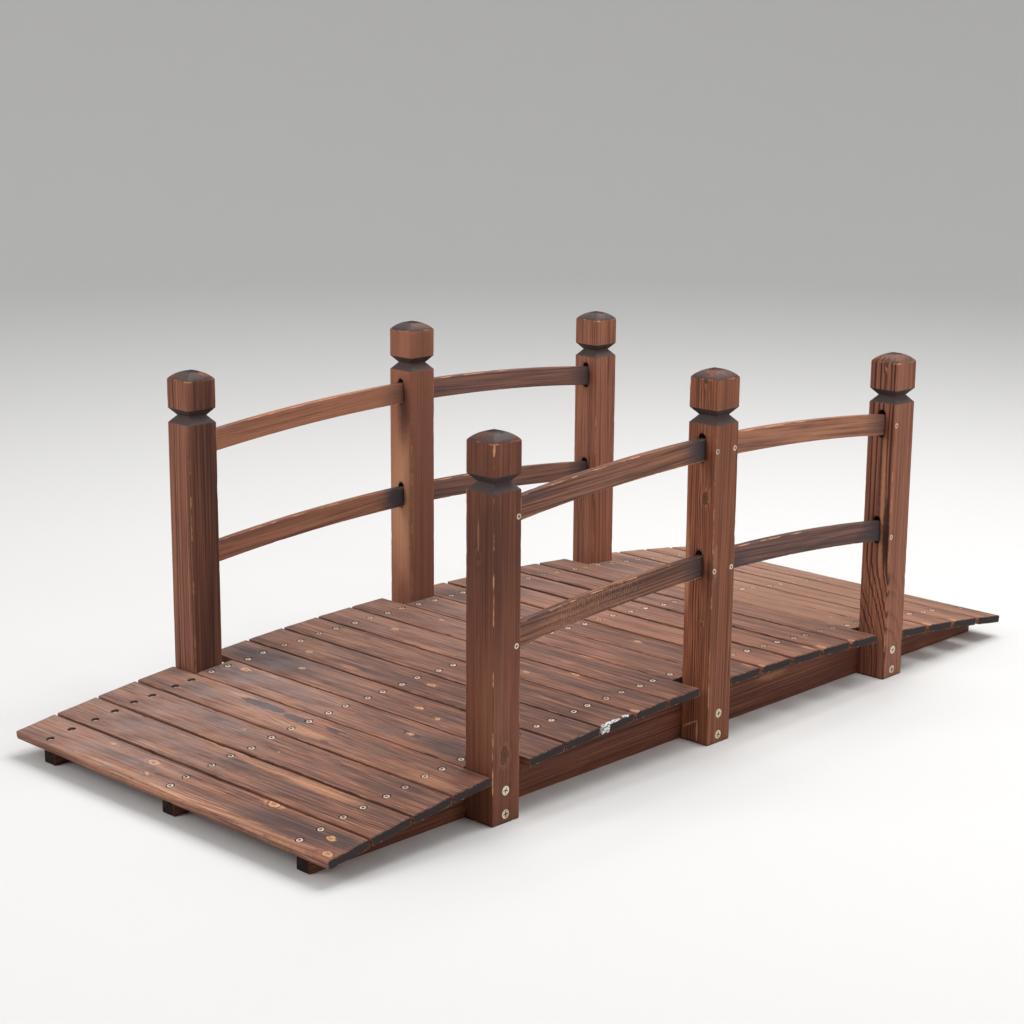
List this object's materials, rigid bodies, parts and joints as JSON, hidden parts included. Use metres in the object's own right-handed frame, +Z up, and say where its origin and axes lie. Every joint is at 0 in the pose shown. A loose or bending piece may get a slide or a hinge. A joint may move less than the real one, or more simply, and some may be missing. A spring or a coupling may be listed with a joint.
{
  "type": "arched wooden footbridge",
  "caption": "Small arched garden footbridge of dark stained timber: boarded deck on arched bearers, grooved posts with domed heads and paired arched rails on both sides.",
  "frame": {"origin": "on the ground, under the middle of the deck", "axes": "+X along the bridge to the far end, +Y across it to the left side, +Z up"},
  "size_m": [1.4943, 0.661, 0.541],
  "materials": {
    "deck_wood": "satin",
    "bearer_wood": "satin",
    "post_wood": "satin",
    "rail_wood": "satin"
  },
  "bodies": {
    "root": {"bearer_left": "bearer_wood", "bearer_middle": "bearer_wood", "bearer_right": "bearer_wood", "deck_plank_01": "deck_wood", "deck_plank_02": "deck_wood", "deck_plank_03": "deck_wood", "deck_plank_04": "deck_wood", "deck_plank_05": "deck_wood", "deck_plank_06": "deck_wood", "deck_plank_07": "deck_wood", "deck_plank_08": "deck_wood", "deck_plank_09": "deck_wood", "deck_plank_10": "deck_wood", "deck_plank_11": "deck_wood", "deck_plank_12": "deck_wood", "deck_plank_13": "deck_wood", "deck_plank_14": "deck_wood", "deck_plank_15": "deck_wood", "deck_plank_16": "deck_wood", "deck_plank_17": "deck_wood", "deck_plank_18": "deck_wood", "deck_plank_19": "deck_wood", "deck_plank_20": "deck_wood", "deck_plank_21": "deck_wood", "lower_rail_far_left": "rail_wood", "lower_rail_far_right": "rail_wood", "lower_rail_near_left": "rail_wood", "lower_rail_near_right": "rail_wood", "post_far_left": "post_wood", "post_far_right": "post_wood", "post_middle_left": "post_wood", "post_middle_right": "post_wood", "post_near_left": "post_wood", "post_near_right": "post_wood", "upper_rail_far_left": "rail_wood", "upper_rail_far_right": "rail_wood", "upper_rail_near_left": "rail_wood", "upper_rail_near_right": "rail_wood"}
  },
  "joints": []
}
